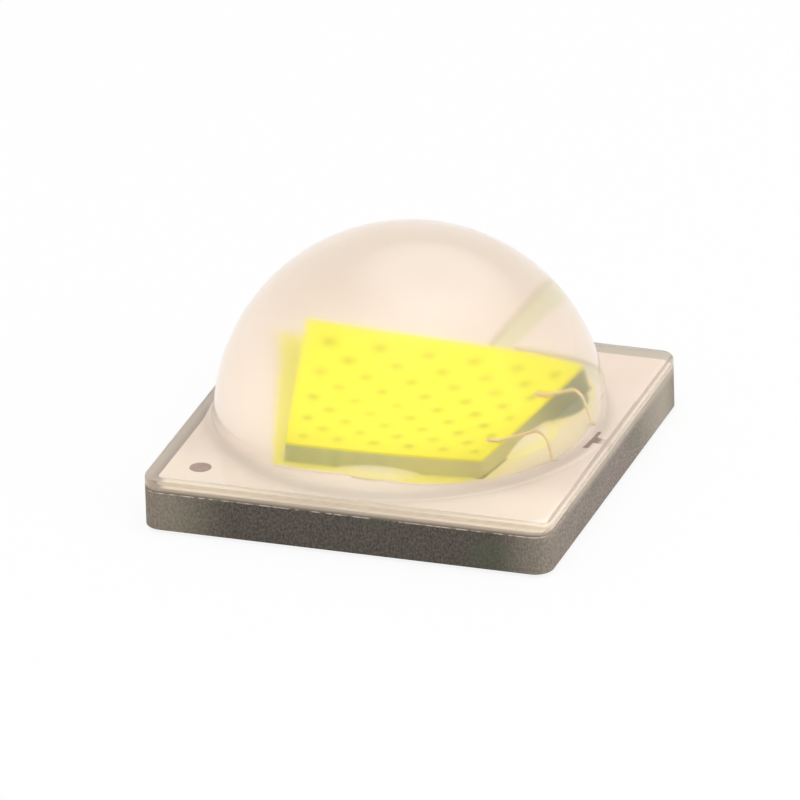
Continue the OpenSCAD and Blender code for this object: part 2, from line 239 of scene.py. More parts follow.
# Where each shade begins and ends. Corners are told by the sum of the distances from the two middle lines.
CORNER_HIGHLIGHT_FADE = (2 * HALF - 0.7 * MM, 2 * HALF - 0.1 * MM)
LEFT_FADE = (-HALF + 0.3 * MM, -HALF + 1.2 * MM)
RIGHT_BACK_FADE = (0.6 * MM, 2.3 * MM)
RIGHT_FRONT_FADE = (-HALF + 0.4 * MM, -HALF + 1.6 * MM)

# Depths below the ceramic's top: a soft band of painted shade, lit at the edge and dark at its foot, a fine
# broken line of painted highlight under it, and painted light at the top of the right side
BAND_SHADE = (0.0, 0.044 * MM)
BAND_END = (0.04 * MM, 0.056 * MM)
LINE_START = (0.043 * MM, 0.049 * MM)
LINE_END = (0.054 * MM, 0.061 * MM)
RIGHT_TOP_FADE = (0.0, 0.15 * MM)


def ceramic_lit_right(m, speckle):
    """The right side, painted paler than the front as painted light from the right, with soft blotches,
    paler towards the back.
    """
    blotches = m.noise(0.5 * MM, detail=2.0, seed=23.0)
    colour = m.blend(speckle, RIGHT_LIT_DARK, RIGHT_LIT_PALE)
    colour = m.mix(m.ramp(blotches, 0.45, 0.65, 0.0, 0.4), colour, RIGHT_BROWN)
    colour = m.mix(m.ramp(blotches, 0.35, 0.5, 0.4, 0.0), colour, RIGHT_GREEN)
    return m.mix(m.ramp(m.axis(1), *RIGHT_BACK_FADE, 0.0, 0.9), colour, RIGHT_BACK)


def ceramic_side(m, speckle, patches):
    """Dark in front as painted shade, paler at the left end, with painted light on the right side and
    painted highlights on the corners; a band of painted shade and a line of painted highlight on top.
    """
    x, y = m.axis(0), m.axis(1)
    # Faces that turn to the right get the right side's painted light
    right = m.ramp(m.axis(0, m.true_normal()), 0.3, 0.9, 0.0, 0.9)
    colour = m.blend(speckle, SIDE_SHADE_DARK, SIDE_SHADE_PALE, 0.32, 0.72)
    colour = m.mix(m.ramp(patches, 0.5, 0.62, 0.0, 0.45), colour, SIDE_GREEN)
    colour = m.mix(right, colour, ceramic_lit_right(m, speckle))
    # A painted highlight near the rounded upright corners
    corner_highlight = m.ramp(m.plus(m.math("ABSOLUTE", x), m.math("ABSOLUTE", y)), *CORNER_HIGHLIGHT_FADE, 0.0, 0.8)
    colour = m.mix(corner_highlight, colour, m.blend(speckle, CORNER_HIGHLIGHT_DARK, CORNER_HIGHLIGHT_PALE))
    colour = m.mix(m.ramp(x, *LEFT_FADE, 0.75, 0.0), colour, m.blend(speckle, LEFT_DARK, LEFT_PALE))

    # A band of painted shade under the top edge, and a broken line of painted highlight at its foot
    depth = m.minus(Z_METAL, m.axis(2))
    band = m.mix(m.ramp(depth, *BAND_SHADE), BAND_LIT_TOP, BAND_SHADED_FOOT)
    colour = m.mix(m.ramp(depth, *BAND_END, 1.0, 0.0), colour, band)
    line = m.times(m.ramp(depth, *LINE_START), m.ramp(depth, *LINE_END, 1.0, 0.0))
    breaks = m.noise(0.09 * MM, detail=3.0, scale=(1.0, 1.0, 0.2), seed=5.0)
    colour = m.mix(m.times(line, m.ramp(breaks, 0.38, 0.62)), colour, LINE_HIGHLIGHT)
    # Painted light along the top of the right side, less of it towards the front
    lit_right_top = m.times(right, m.ramp(depth, *RIGHT_TOP_FADE, 1.0, 0.0))
    lit_right_top = m.times(lit_right_top, m.ramp(y, *RIGHT_FRONT_FADE, 0.35, 1.0))
    return m.mix(lit_right_top, colour, RIGHT_TOP_LIT)


# The ceramic's bare top, round the metal and in the gap between its two parts

CREAM_LOW = rgb(0.82, 0.72, 0.58)
CREAM_HIGH = rgb(0.87, 0.77, 0.62)
GAP_OLIVE = rgb(0.79, 0.725, 0.50)
BACK_GREY = srgb(190, 178, 164)
LEFT_OUTER = srgb(188, 174, 160)
LEFT_INNER = srgb(162, 146, 133)
FRONT_BROWN = srgb(170, 154, 135)
# Painted shade: a fine dark line on the ceramic at the foot of the metal's right edge
METAL_EDGE_SHADE = srgb(116, 96, 90)

# Where each shade begins and ends: from the front, along X, and along Y
GAP_FRONT = (0.3 * MM, 0.6 * MM)
FRONT_MARGIN = (0.03 * MM, 0.09 * MM)
GAP_RIGHT = (METAL_RIGHT - 0.1 * MM, METAL_RIGHT - 0.05 * MM)
LEFT_SHADE = (-HALF + 0.03 * MM, -HALF + 0.16 * MM)
LEFT_MARGIN = (-HALF + 0.2 * MM, -HALF + 0.3 * MM)
EDGE_SHADE_START = (METAL_RIGHT - 0.01 * MM, METAL_RIGHT)
EDGE_SHADE_END = (METAL_RIGHT + 0.01 * MM, METAL_RIGHT + 0.03 * MM)
BACK_MARGIN = (HALF - 0.3 * MM, HALF - 0.15 * MM)


def ceramic_top(m, patches):
    """Cream, olive in the gap, grey on the left and behind; a fine brown line of painted shade at the foot
    of the metal's right edge.
    """
    x, y = m.axis(0), m.axis(1)
    from_front = m.plus(y, HALF)
    in_gap = m.times(m.ramp(from_front, *GAP_FRONT), m.ramp(x, *GAP_RIGHT, 1.0, 0.0))
    colour = m.mix(in_gap, m.blend(patches, CREAM_LOW, CREAM_HIGH), GAP_OLIVE)
    colour = m.mix(m.ramp(y, *BACK_MARGIN, 0.0, 0.85), colour, BACK_GREY)
    left_band = m.mix(m.ramp(x, *LEFT_SHADE), LEFT_OUTER, LEFT_INNER)
    colour = m.mix(m.ramp(x, *LEFT_MARGIN, 0.95, 0.0), colour, left_band)
    colour = m.mix(m.ramp(from_front, *FRONT_MARGIN, 0.8, 0.0), colour, FRONT_BROWN)
    # Painted shade along the foot of the metal's right edge
    edge_shade = m.times(m.ramp(x, *EDGE_SHADE_START), m.ramp(x, *EDGE_SHADE_END, 0.5, 0.0))
    return m.mix(edge_shade, colour, METAL_EDGE_SHADE)


def ceramic_material():
    """Fine-grained sides and a smoother top, told apart by the way a face looks; the sides are painted
    darker than the top, as painted shade for light from above.
    """
    m = Material("speckled_ceramic").set(Roughness=0.75, Specular_IOR_Level=0.3)
    speckle = m.noise(0.026 * MM, detail=3.0, roughness=0.7, scale=(1.0, 1.0, 0.7))
    patches = m.noise(0.9 * MM, detail=1.5, seed=3.0)
    # The top keeps its own colour; faces that do not face up get the sides' painted shade
    unshaded_top = m.ramp(m.axis(2, m.true_normal()), 0.9, 0.99)
    m.feed("Base Color", m.mix(unshaded_top, ceramic_side(m, speckle, patches), ceramic_top(m, patches)))
    m.bump(speckle, 0.008 * MM, 0.5)
    return m.material


# The top metal and the marks on it

METAL_LOW = rgb(0.89, 0.75, 0.64)
METAL_HIGH = rgb(0.925, 0.79, 0.685)
# Painted light: the metal in front of the dome is painted paler
METAL_FRONT_LIT = rgb(0.97, 0.86, 0.735)
METAL_LIT_FADE = (-1.9 * MM, -1.3 * MM)
MARK_DARK = srgb(150, 120, 106)
MARK_PALE = srgb(172, 142, 126)
MARK_WEAR = (METAL_RIGHT - 0.12 * MM, METAL_RIGHT - 0.02 * MM)


def top_metal_material():
    """Pale and lightly clouded, and painted paler in front of the dome as painted light."""
    m = Material("pale_pad_metal").set(Roughness=0.45, Specular_IOR_Level=0.25)
    pale = m.blend(m.noise(0.9 * MM, detail=3.0), METAL_LOW, METAL_HIGH)
    m.feed("Base Color", m.mix(m.ramp(m.axis(1), *METAL_LIT_FADE, 1.0, 0.0), pale, METAL_FRONT_LIT))
    m.bump(m.noise(0.03 * MM, detail=2.0, seed=2.0), 0.003 * MM, 0.4)
    return m.material


def mark_material():
    """Brown, worn away towards the metal's right edge."""
    m = Material("mark_brown").set(Roughness=0.6)
    grain = m.noise(0.06 * MM, detail=3.0, seed=4.0)
    worn = m.ramp(m.axis(0), *MARK_WEAR, 0.0, 0.75)
    m.feed("Base Color", m.mix(worn, m.blend(grain, MARK_DARK, MARK_PALE), METAL_LOW))
    m.bump(grain, 0.003 * MM, 0.4)
    return m.material


# The phosphor: the contact points under it show as soft spots, in rows that are shifted by turns

PHOSPHOR_LOW = rgb(0.88, 0.80, 0.010)
PHOSPHOR_HIGH = rgb(0.92, 0.84, 0.018)
PHOSPHOR_SPOT = rgb(0.61, 0.59, 0.0)
CONTACT_PITCH_X = 0.338 * MM
CONTACT_PITCH_Y = 0.198 * MM
CONTACT_FIRST_X = -2.5 * CONTACT_PITCH_X
CONTACT_FIRST_Y = -4.0 * CONTACT_PITCH_Y
# From a contact point's middle: its spot is full up to the first distance and gone at the second
SPOT_FADE = (0.014 * MM, 0.115 * MM)
SPOT_WOBBLE = 0.03 * MM
# From the chip's middle: the spots fade out near the chip's edge
SPOT_EDGE = (CHIP_HALF - 0.14 * MM, CHIP_HALF - 0.08 * MM)


def to_contact(m, x, y, first_x, first_y):
    """Distance to the nearest contact point of every second row, from the one at first_x, first_y."""
    dx = m.math("WRAP", m.minus(x, first_x), CONTACT_PITCH_X / 2, -CONTACT_PITCH_X / 2)
    dy = m.math("WRAP", m.minus(y, first_y), CONTACT_PITCH_Y, -CONTACT_PITCH_Y)
    return m.distance(dx, dy)


def phosphor_material():
    m = Material("yellow_phosphor").set(Roughness=0.7, Specular_IOR_Level=0.2)
    x, y = m.chip_axes()
    even = to_contact(m, x, y, CONTACT_FIRST_X, CONTACT_FIRST_Y)
    odd = to_contact(m, x, y, CONTACT_FIRST_X + CONTACT_PITCH_X / 2, CONTACT_FIRST_Y + CONTACT_PITCH_Y)
    wobble = m.times(m.noise(0.05 * MM, detail=2.0, seed=6.0), SPOT_WOBBLE)
    near = m.plus(m.math("MINIMUM", even, odd), wobble)
    strength = m.ramp(m.noise(0.5 * MM, seed=7.0), 0.35, 0.65, 0.75, 1.0)
    spots = m.times(m.ramp(near, *SPOT_FADE, 1.0, 0.0), strength)
    from_middle = m.math("MAXIMUM", m.math("ABSOLUTE", x), m.math("ABSOLUTE", y))
    spots = m.times(spots, m.ramp(from_middle, *SPOT_EDGE, 1.0, 0.0))
    grain = m.noise(0.04 * MM, detail=3.0, seed=9.0)
    m.feed("Base Color", m.mix(spots, m.blend(grain, PHOSPHOR_LOW, PHOSPHOR_HIGH), PHOSPHOR_SPOT))
    m.bump(grain, 0.01 * MM, 0.4)
    return m.material


# The phosphor film round the chip

FILM_YELLOW = rgb(0.91, 0.81, 0.16)
# Its outline, from the chip's middle: straight on three sides, with a round lobe
FILM_LEFT = CHIP_HALF + 0.17 * MM
FILM_FRONT = CHIP_HALF + 0.18 * MM
FILM_BACK = CHIP_HALF + 0.14 * MM
LOBE_X = 0.36 * MM
LOBE_R = 1.3 * MM
FILM_FADE = 0.08 * MM
FILM_WOBBLE = 0.08 * MM
# Right of the chip the film is thinner, and thins out further
FILM_RIGHT = (CHIP_HALF, CHIP_HALF + 0.3 * MM)
FILM_MAIN = (CHIP_HALF - 0.2 * MM, CHIP_HALF)


def overspray_material():
    """Yellow at the chip, which fades into the colour of the metal at the film's edge."""
    m = Material("phosphor_film").set(Roughness=0.6, Specular_IOR_Level=0.2)
    x, y = m.chip_axes()
    inside = m.math("MINIMUM", m.plus(x, FILM_LEFT), m.plus(y, FILM_FRONT))
    inside = m.math("MINIMUM", inside, m.minus(FILM_BACK, y))
    inside = m.math("MINIMUM", inside, m.minus(CHIP_HALF, x))
    in_lobe = m.minus(LOBE_R, m.distance(m.minus(x, LOBE_X), y))
    inside = m.math("MAXIMUM", inside, in_lobe)
    wobble = m.times(m.minus(m.noise(0.2 * MM, detail=3.0, seed=11.0), 0.5), FILM_WOBBLE)
    tint = m.ramp(m.plus(inside, wobble), 0.0, FILM_FADE)
    right = m.ramp(x, *FILM_RIGHT, 0.6, 0.3)
    main_part = m.ramp(x, *FILM_MAIN, 1.0, 0.0)
    tint = m.times(tint, m.math("MAXIMUM", main_part, right))
    m.feed("Base Color", m.mix(tint, METAL_LOW, FILM_YELLOW))
    m.bump(m.noise(0.04 * MM, detail=3.0, seed=12.0), 0.006 * MM, 0.5)
    return m.material


# The chip's block, the solder, the humps at its foot and the crystal layer

OLIVE_LOW = rgb(0.51, 0.52, 0.18)
OLIVE_HIGH = rgb(0.60, 0.60, 0.21)
OLIVE_RIGHT = rgb(0.68, 0.63, 0.23)
OLIVE_BACK = rgb(0.33, 0.32, 0.17)
OLIVE_RIGHT_FADE = (-0.6 * MM, 0.7 * MM)
OLIVE_BACK_FADE = (-0.9 * CHIP_HALF, 0.8 * CHIP_HALF)
SOLDER_LOW = rgb(0.34, 0.33, 0.18)
SOLDER_HIGH = rgb(0.44, 0.43, 0.24)
SOLDER_STAINED = rgb(0.80, 0.76, 0.26)
BEAD_FADE = (CHIP_HALF - 0.1 * MM, CHIP_HALF)
FILLET_FOOT = rgb(0.88, 0.78, 0.30)
FILLET_TOP = rgb(0.84, 0.75, 0.46)
FILLET_FADE = (0.035 * MM, 0.08 * MM)
FILLET_WOBBLE = 0.03 * MM
CRYSTAL_LOW = rgb(0.85, 0.78, 0.10)
CRYSTAL_HIGH = rgb(0.93, 0.87, 0.16)


def carrier_material():
    """Olive sides, lighter towards the right in front and darker towards the back."""
    m = Material("chip_carrier_olive").set(Roughness=0.4, Specular_IOR_Level=0.4)
    streaks = m.noise(0.2 * MM, detail=3.0, scale=(1.0, 1.0, 0.3), seed=13.0)
    x, y = m.chip_axes()
    olive = m.mix(m.ramp(x, *OLIVE_RIGHT_FADE), m.blend(streaks, OLIVE_LOW, OLIVE_HIGH), OLIVE_RIGHT)
    m.feed("Base Color", m.mix(m.ramp(y, *OLIVE_BACK_FADE, 0.0, 0.9), olive, OLIVE_BACK))
    m.bump(streaks, 0.004 * MM, 0.3)
    return m.material


def solder_material():
    """Dull in the bead on the right, stained yellow round the rest of the chip."""
    m = Material("dull_solder").set(Roughness=0.5, Metallic=0.2)
    grain = m.noise(0.08 * MM, detail=3.0, seed=14.0)
    bead = m.ramp(m.chip_axes()[0], *BEAD_FADE)
    m.feed("Base Color", m.mix(bead, SOLDER_STAINED, m.blend(grain, SOLDER_LOW, SOLDER_HIGH)))
    m.bump(grain, 0.006 * MM, 0.5)
    return m.material


def fillet_material():
    """Pale at its top, phosphor yellow at its foot."""
    m = Material("reflective_fillet").set(Roughness=0.5)
    grain = m.times(m.noise(0.1 * MM, detail=3.0, seed=15.0), FILLET_WOBBLE)
    height = m.plus(m.minus(m.axis(2), Z_PAD), grain)
    m.feed("Base Color", m.mix(m.ramp(height, *FILLET_FADE), FILLET_FOOT, FILLET_TOP))
    m.bump(grain, 0.008 * MM, 0.4)
    return m.material


def crystal_material():
    m = Material("crystal_layer").set(Roughness=0.35)
    m.feed("Base Color", m.blend(m.noise(0.2 * MM, detail=2.0, seed=20.0), CRYSTAL_LOW, CRYSTAL_HIGH))
    return m.material


# Gold, plating and copper

GOLD_LOW = rgb(0.94, 0.71, 0.36)
GOLD_HIGH = rgb(0.97, 0.80, 0.48)
PLATING_LOW = rgb(0.80, 0.60, 0.28)
PLATING_HIGH = rgb(0.88, 0.70, 0.38)
COPPER_LOW = rgb(0.72, 0.36, 0.22)
COPPER_HIGH = rgb(0.80, 0.44, 0.28)


def gold_material():
    """Gold with fine drawing lines along X, the way the wires run."""
    m = Material("wire_gold").set(Metallic=0.8, Roughness=0.35)
    grain = m.noise(0.03 * MM, detail=2.0, scale=(0.25, 1.0, 1.0), seed=16.0)
    m.feed("Base Color", m.blend(grain, GOLD_LOW, GOLD_HIGH))
    m.bump(grain, 0.001 * MM, 0.3)
    return m.material


def plating_material():
    """Satin plating of the solder pads, clouded and finely rough."""
    m = Material("plated_solder_pad").set(Metallic=1.0)
    grain = m.noise(0.05 * MM, detail=3.0, seed=18.0)
    m.feed("Base Color", m.blend(m.noise(0.7 * MM, detail=3.0, seed=17.0), PLATING_LOW, PLATING_HIGH))
    m.feed("Roughness", m.ramp(grain, 0.2, 0.8, 0.3, 0.45))
    m.bump(grain, 0.004 * MM, 0.4)
    return m.material


def copper_material():
    m = Material("via_copper").set(Metallic=1.0, Roughness=0.4)
    m.feed("Base Color", m.blend(m.noise(0.05 * MM, detail=2.0, seed=19.0), COPPER_LOW, COPPER_HIGH))
    return m.material


# The silicone

SILICONE_TINT = rgb(0.99, 0.965, 0.93)
SILICONE_IOR = 1.54


def silicone_material():
    """Clear, with a light haze from fine dust and a barely uneven surface."""
    m = Material("clear_silicone").set(
        Base_Color=SILICONE_TINT, Transmission_Weight=0.97, IOR=SILICONE_IOR)
    dust = m.noise(0.35 * MM, detail=4.0, roughness=0.6, seed=21.0)
    m.feed("Roughness", m.ramp(dust, 0.3, 0.75, 0.105, 0.14))
    m.bump(m.noise(0.9 * MM, detail=1.0, seed=22.0), 0.004 * MM, 0.15)
    return m.material


# Meshes

def mesh_piece(name, points, faces, material, smooth_angle=35.0):
    mesh = bpy.data.meshes.new(name)
    mesh.from_pydata(points, [], faces)
    mesh.validate()
    for polygon in mesh.polygons:
        polygon.use_smooth = True
    mesh.set_sharp_from_angle(angle=math.radians(smooth_angle))
    mesh.materials.append(material)
    piece = bpy.data.objects.new(name, mesh)
    bpy.context.scene.collection.objects.link(piece)
    return piece


def stack(rings):
    """Points and faces of a closed solid from rings of equal length, the first one at the bottom."""
    count = len(rings[0])
    points = [point for ring in rings for point in ring]
    faces = [tuple(reversed(range(count)))]
    for step in range(len(rings) - 1):
        low, high = step * count, (step + 1) * count
        for k in range(count):
            n = (k + 1) % count
            faces.append((low + k, low + n, high + n, high + k))
    top = (len(rings) - 1) * count
    faces.append(tuple(range(top, top + count)))
    return points, faces


def level(outline, z):
    """A flat ring from an outline."""
    return [(x, y, z) for x, y in outline]


# Radius of the package's upright corners
CORNER_R = 0.22 * MM
CORNER_STEPS = 10
EDGE_STEPS = 24


def square_outline(inset=0.0):
    """The package's outline, all the way round from the right side's middle, drawn in by an inset."""
    half, radius = HALF - inset, CORNER_R - inset
    inner = half - radius
    points = []
    for quarter in range(4):
        turn = quarter * math.pi / 2
        c, s = math.cos(turn), math.sin(turn)
        local = [(half, inner * k / EDGE_STEPS) for k in range(EDGE_STEPS)]
        for k in range(CORNER_STEPS + 1):
            a = math.pi / 2 * k / CORNER_STEPS
            local.append((inner + radius * math.cos(a), inner + radius * math.sin(a)))
        local += [(inner * (1 - k / EDGE_STEPS), half) for k in range(1, EDGE_STEPS)]
        points += [(c * x - s * y, s * x + c * y) for x, y in local]
    return points


# Width of the fine bevel along the ceramic's edges
CERAMIC_BEVEL = 0.008 * MM


def ceramic(material):
    """The base, with a fine bevel at its top and bottom."""
    side = square_outline()
    inner = square_outline(CERAMIC_BEVEL)
    rings = [level(inner, Z_CERAMIC), level(side, Z_CERAMIC + CERAMIC_BEVEL),
             level(side, Z_METAL - CERAMIC_BEVEL), level(inner, Z_METAL)]
    piece = mesh_piece("ceramic_base", *stack(rings), material)
    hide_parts("ceramic_substrate")
    return piece


DOME_R = 2.32 * MM
DOME_CENTRE_H = 0.08 * MM
FLANGE_T = 0.11 * MM
DOME_FILLET_R = 0.12 * MM
DOME_STEPS = 96
FILLET_STEPS = 10
FLANGE_STEPS = 6
# Radius of the flange's top edge, and the share of it that is left where the round is halfway
LENS_EDGE_R = 0.03 * MM
HALFWAY = 0.3
# How far the silicone's foot is sunk into the ceramic, so that no two faces share a plane
SINK = 0.004 * MM


def lens(material):
    """The silicone: a square flange with a round edge, a concave round and the dome."""
    z_dome = Z_METAL + DOME_CENTRE_H
    z_flange = Z_METAL + FLANGE_T
    fillet_z = z_flange + DOME_FILLET_R
    fillet_x = math.sqrt((DOME_R + DOME_FILLET_R) ** 2 - (fillet_z - z_dome) ** 2)
    touch = math.atan2(fillet_z - z_dome, fillet_x)
    outline = square_outline()

    def round_ring(radius, z):
        ring = []
        for x, y in outline:
            a = math.atan2(y, x)
            ring.append((radius * math.cos(a), radius * math.sin(a), z))
        return ring

    sunk = square_outline(SINK)
    edge = level(square_outline(LENS_EDGE_R), z_flange)
    rings = [
        level(sunk, Z_METAL - SINK),
        level(sunk, Z_METAL),
        level(outline, Z_METAL),
        level(outline, z_flange - LENS_EDGE_R),
        level(square_outline(HALFWAY * LENS_EDGE_R), z_flange - HALFWAY * LENS_EDGE_R),
        edge,
    ]
    foot = round_ring(fillet_x, z_flange)
    for k in range(1, FLANGE_STEPS):
        t = k / FLANGE_STEPS
        rings.append([tuple(a + (b - a) * t for a, b in zip(p, q)) for p, q in zip(edge, foot)])
    for k in range(FILLET_STEPS + 1):
        a = -math.pi / 2 - (math.pi / 2 - touch) * k / FILLET_STEPS
        radius = fillet_x + DOME_FILLET_R * math.cos(a)
        rings.append(round_ring(radius, fillet_z + DOME_FILLET_R * math.sin(a)))
    for k in range(1, DOME_STEPS):
        a = touch + (math.pi / 2 - touch) * k / DOME_STEPS
        rings.append(round_ring(DOME_R * math.cos(a), z_dome + DOME_R * math.sin(a)))

    # The last ring is closed by a fan to the dome's top instead of a flat face
    points, faces = stack(rings)
    faces.pop()
    count = len(outline)
    last = (len(rings) - 1) * count
    points.append((0.0, 0.0, z_dome + DOME_R))
    faces += [(last + k, last + (k + 1) % count, len(points) - 1) for k in range(count)]
    piece = mesh_piece("silicone_dome", points, faces, material)
    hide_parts("silicone_lens")
    return piece


DOT_SIDES = 64


def cathode_dot(material):
    low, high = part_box("cathode_dot")
    x, y, r = (low[0] + high[0]) / 2, (low[1] + high[1]) / 2, (high[0] - low[0]) / 2
    outline = []
    for k in range(DOT_SIDES):
        a = 2 * math.pi * k / DOT_SIDES
        outline.append((x + r * math.cos(a), y + r * math.sin(a)))
    piece = mesh_piece("round_mark", *stack([level(outline, low[2]), level(outline, high[2])]), material)
    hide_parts("cathode_dot")
    return piece


# The wires

WIRE_R = 0.016 * MM
WEDGE_L = 0.1 * MM
WEDGE_FLAT = 0.006 * MM
LIFT_R = 0.04 * MM
LAND_R = 0.03 * MM
TAIL_L = 0.08 * MM
WIRE_SIDES = 20
BEND_STEPS = 28
END_STEPS = 8
WIRE_SMOOTH_ANGLE = 60.0
# From the chip's side to where a wire lifts off
WIRE_INSET = 0.05 * MM
# How far a pressed wire stays above its pad, so that no two faces share a plane
WIRE_LIFT = 0.0005 * MM


class Loop:
    """A wire's place across the chip, rise in degrees, straight run, bend radius and length in plan."""

    def __init__(self, across, rise, run, bend_r, length):
        self.across = across * MM
        self.rise = math.radians(rise)
        self.run = run * MM
        self.bend_r = bend_r * MM
        self.length = length * MM


LOOPS = {
    "bond_wire_1": Loop(across=0.48, rise=18, run=0.32, bend_r=0.15, length=0.6),
    "bond_wire_2": Loop(across=-0.49, rise=17, run=0.44, bend_r=0.16, length=0.7),
}


def unit(angle):
    return Vector((math.cos(angle), math.sin(angle)))


def wire_route(loop):
    """Stations along a wire in its upright plane: place, direction, and the height of the pad under it."""
    z_wedge = span("bond_pad_1", 2)[1]
    quarter = math.pi / 2
    heel = Vector((0.0, z_wedge + WIRE_R - WEDGE_FLAT))
    landing = Vector((loop.length, Z_PAD + WIRE_R - WEDGE_FLAT))
    lift = heel + Vector((0.0, LIFT_R))
    bend = lift + (LIFT_R + loop.bend_r) * unit(loop.rise - quarter) + loop.run * unit(loop.rise)
    land = landing + Vector((0.0, LAND_R))
    across = land - bend
    drop = math.atan2(across.y, across.x) - math.asin((loop.bend_r + LAND_R) / across.length)
    stations = [(heel - Vector((WEDGE_L, 0.0)), 0.0, z_wedge)]
    for k in range(END_STEPS + 1):
        a = loop.rise * k / END_STEPS
        stations.append((lift + LIFT_R * unit(a - quarter), a, z_wedge))
    for k in range(BEND_STEPS + 1):
        a = loop.rise + (drop - loop.rise) * k / BEND_STEPS
        stations.append((bend + loop.bend_r * unit(a + quarter), a, Z_PAD))
    for k in range(END_STEPS + 1):
        a = drop * (1 - k / END_STEPS)
        stations.append((land + LAND_R * unit(a - quarter), a, Z_PAD))
    stations.append((landing + Vector((TAIL_L, 0.0)), 0.0, Z_PAD))
    return stations


def on_chip(along, across, z):
    """A place given from the chip's middle along its sides, in the frame."""
    c, s = math.cos(CHIP_TURN), math.sin(CHIP_TURN)
    return (CHIP_X + c * along - s * across, CHIP_Y + s * along + c * across, z)


def wire(node, material):
    """A round wire swept along its route, pressed flat on its two pads."""
    loop = LOOPS[node]
    start = CHIP_HALF - WIRE_INSET
    rings = []
    for place, angle, pad_z in wire_route(loop):
        ring = []
        for k in range(WIRE_SIDES):
            a = 2 * math.pi * (k + 0.5) / WIRE_SIDES
            side, up = WIRE_R * math.cos(a), WIRE_R * math.sin(a)
            z = max(place.y + up * math.cos(angle), pad_z + WIRE_LIFT)
            ring.append(on_chip(start + place.x - up * math.sin(angle), loop.across + side, z))
        rings.append(ring)
    name = "gold_" + node.removeprefix("bond_")
    piece = mesh_piece(name, *stack(rings), material, WIRE_SMOOTH_ANGLE)
    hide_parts(node)
    return piece


# The scene around the part

FLOOR_REACH = 300 * MM
FLOOR_WHITE = 0.88
# How far the floor lies below the pads, so that no two faces share a plane
FLOOR_GAP = 0.002 * MM


def floor():
    """A pale floor just under the pads, which can be seen through from below."""
    reach, z = FLOOR_REACH, -FLOOR_GAP
    points = [(-reach, -reach, z), (reach, -reach, z), (reach, reach, z), (-reach, reach, z)]
    m = Material("pale_floor").set(Roughness=0.9, Base_Color=grey(0.9))
    tree = m.tree
    path = tree.nodes.new("ShaderNodeLightPath")
    white = tree.nodes.new("ShaderNodeEmission")
    white.inputs["Color"].default_value = grey(1.0)
    top = tree.nodes.new("ShaderNodeMixShader")
    seen = m.math("MAXIMUM", path.outputs["Is Camera Ray"], path.outputs["Is Transmission Ray"])
    seen = m.math("MAXIMUM", seen, path.outputs["Is Glossy Ray"])
    m.link(m.times(seen, FLOOR_WHITE), top.inputs[0])
    m.link(m.shader.outputs[0], top.inputs[1])
    m.link(white.outputs[0], top.inputs[2])
    clear = tree.nodes.new("ShaderNodeBsdfTransparent")
    both_sides = tree.nodes.new("ShaderNodeMixShader")
    m.link(tree.nodes.new("ShaderNodeNewGeometry").outputs["Backfacing"], both_sides.inputs[0])
    m.link(top.outputs[0], both_sides.inputs[1])
    m.link(clear.outputs[0], both_sides.inputs[2])
    m.link(both_sides.outputs[0], tree.nodes["Material Output"].inputs["Surface"])
    piece = mesh_piece("floor", points, [(0, 1, 2, 3)], m.material)


WORLD_LIGHT = 0.55
# A soft bright patch overhead, which only reflections see: its direction, core, outer angle and strength
GLOW_DIRECTION = Vector((0.07, 0.47, 0.88)).normalized()
GLOW_CORE = math.radians(14)
GLOW_ANGLE = math.radians(40)
GLOW_LIGHT = 1.62


def glow(tree, strength, mirrored):
    """Adds the bright patch to the world's strength."""
    place = tree.nodes.new("ShaderNodeTexCoord")
    toward = tree.nodes.new("ShaderNodeVectorMath")
    toward.operation = "DOT_PRODUCT"
    tree.links.new(place.outputs["Generated"], toward.inputs[0])
    toward.inputs[1].default_value = GLOW_DIRECTION
    patch = tree.nodes.new("ShaderNodeMapRange")
    patch.interpolation_type = "SMOOTHSTEP"
    patch.inputs["From Min"].default_value = math.cos(GLOW_ANGLE)
    patch.inputs["From Max"].default_value = math.cos(GLOW_CORE)
    patch.inputs["To Max"].default_value = GLOW_LIGHT
    tree.links.new(toward.outputs["Value"], patch.inputs["Value"])
    total = tree.nodes.new("ShaderNodeMath")
    total.operation = "MULTIPLY_ADD"
    tree.links.new(patch.outputs["Result"], total.inputs[0])
    tree.links.new(mirrored, total.inputs[1])
    tree.links.new(strength, total.inputs[2])
    return total.outputs[0]


def world():
    """Even light, white for the camera, in reflections and through the silicone."""
    scene_world = bpy.data.worlds.new("studio")
    scene_world.use_nodes = True
    bpy.context.scene.world = scene_world
    tree = scene_world.node_tree
    background = tree.nodes["Background"]
    background.inputs["Color"].default_value = grey(1.0)
    path = tree.nodes.new("ShaderNodeLightPath")
    seen = path.outputs["Is Camera Ray"]
    for name in ("Is Glossy Ray", "Is Transmission Ray"):
        either = tree.nodes.new("ShaderNodeMath")
        either.operation = "MAXIMUM"
        tree.links.new(seen, either.inputs[0])
        tree.links.new(path.outputs[name], either.inputs[1])
        seen = either.outputs[0]
    strength = tree.nodes.new("ShaderNodeMapRange")
    strength.inputs["To Min"].default_value = WORLD_LIGHT
    strength.inputs["To Max"].default_value = 1.0
    tree.links.new(seen, strength.inputs["Value"])
    total = glow(tree, strength.outputs["Result"], path.outputs["Is Glossy Ray"])
    tree.links.new(total, background.inputs["Strength"])


class Lamp:
    """A lamp's place and width in metres, and the brightness of its square face, where 1 is white."""

    def __init__(self, place, size, radiance):
        self.place = Vector(place)
        self.size = size
        self.radiance = radiance


LAMPS = {
    "top_lamp": Lamp(place=(0.02, -0.03, 0.16), size=0.14, radiance=2.6),
    "right_lamp": Lamp(place=(0.16, -0.02, 0.08), size=0.10, radiance=1.2),
}


